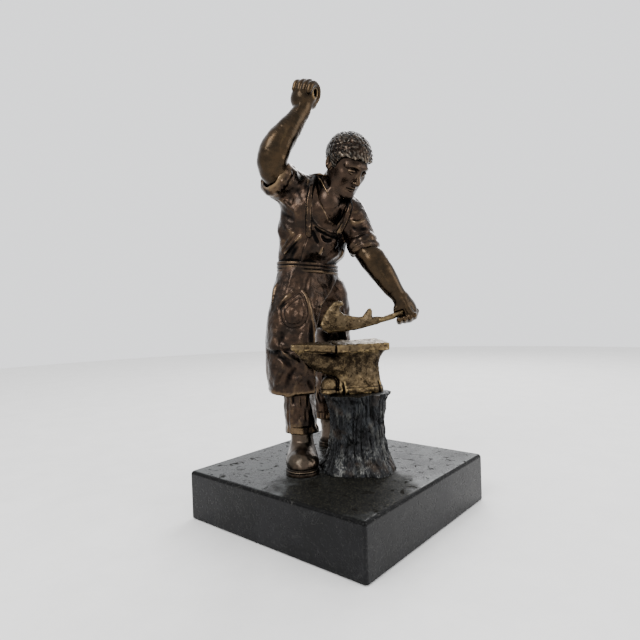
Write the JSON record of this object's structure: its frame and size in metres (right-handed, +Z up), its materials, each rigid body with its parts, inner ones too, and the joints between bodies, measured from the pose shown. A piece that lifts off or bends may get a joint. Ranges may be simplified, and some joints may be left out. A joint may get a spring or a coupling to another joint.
{
  "type": "smith and anvil statuette",
  "caption": "Cast metal statuette of an aproned smith, right arm raised, holding a forging over an anvil on a tree stump, on a square black marble block.",
  "frame": {"origin": "centre of the felt's underside, under the centre of the marble block", "axes": "+Z up; X and Y along the block's sides; the group of castings is turned 40.1 degrees about Z, so the smith looks between -Y and +X"},
  "size_m": [0.15, 0.15, 0.3028],
  "materials": {
    "black_felt": "matt pressed wool felt",
    "black_marble": "worn polish, scuffed",
    "zinc_steel": "zinc plated",
    "dark_bronze": "black patina",
    "gilt_bronze": "olive-gold lacquered patina, dark in the hollows",
    "brown_bronze": "brown patina, rubbed to gold on the high spots",
    "brass_pin": "plain drawn rod"
  },
  "bodies": {
    "root": {"felt_sheet": "black_felt", "marble_base": "black_marble", "stump_rod": "zinc_steel", "stump_nut": "zinc_steel", "stump_washer": "zinc_steel", "boot_studs": "zinc_steel", "boot_nuts": "zinc_steel", "boot_washers": "zinc_steel", "stump": "dark_bronze", "anvil": "gilt_bronze", "forging": "gilt_bronze", "trousers": "brown_bronze", "apron_skirt": "brown_bronze", "torso": "brown_bronze", "head": "brown_bronze", "right_forearm": "brown_bronze", "left_forearm": "brown_bronze", "right_boot": "brown_bronze", "left_boot": "brown_bronze", "waist_pin": "brass_pin", "neck_pin": "brass_pin", "right_arm_pin": "brass_pin", "left_arm_pin": "brass_pin", "ankle_pins": "brass_pin"}
  },
  "joints": []
}
